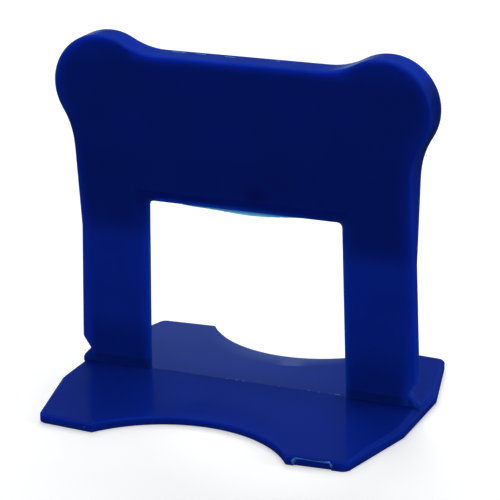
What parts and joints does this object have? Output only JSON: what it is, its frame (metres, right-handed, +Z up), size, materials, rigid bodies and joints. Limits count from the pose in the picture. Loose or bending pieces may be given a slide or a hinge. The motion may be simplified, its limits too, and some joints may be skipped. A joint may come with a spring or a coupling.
{
  "type": "tile levelling clip",
  "caption": "One-piece tile levelling clip: bevelled base with tabs and bites, thin snap-off legs round a wedge window, and a thick header with round ears.",
  "frame": {"origin": "middle of the base's flat underside, which is also the bottom centre of the bounding box", "axes": "+Z up from the base to the header, X along the tile joint across the two legs, Y across the joint with the front at -Y"},
  "size_m": [0.0428, 0.0316, 0.0392],
  "materials": {
    "clip_body": "satin gloss, dark blue moulded polypropylene"
  },
  "bodies": {
    "root": {"levelling_clip": "clip_body"}
  },
  "joints": []
}
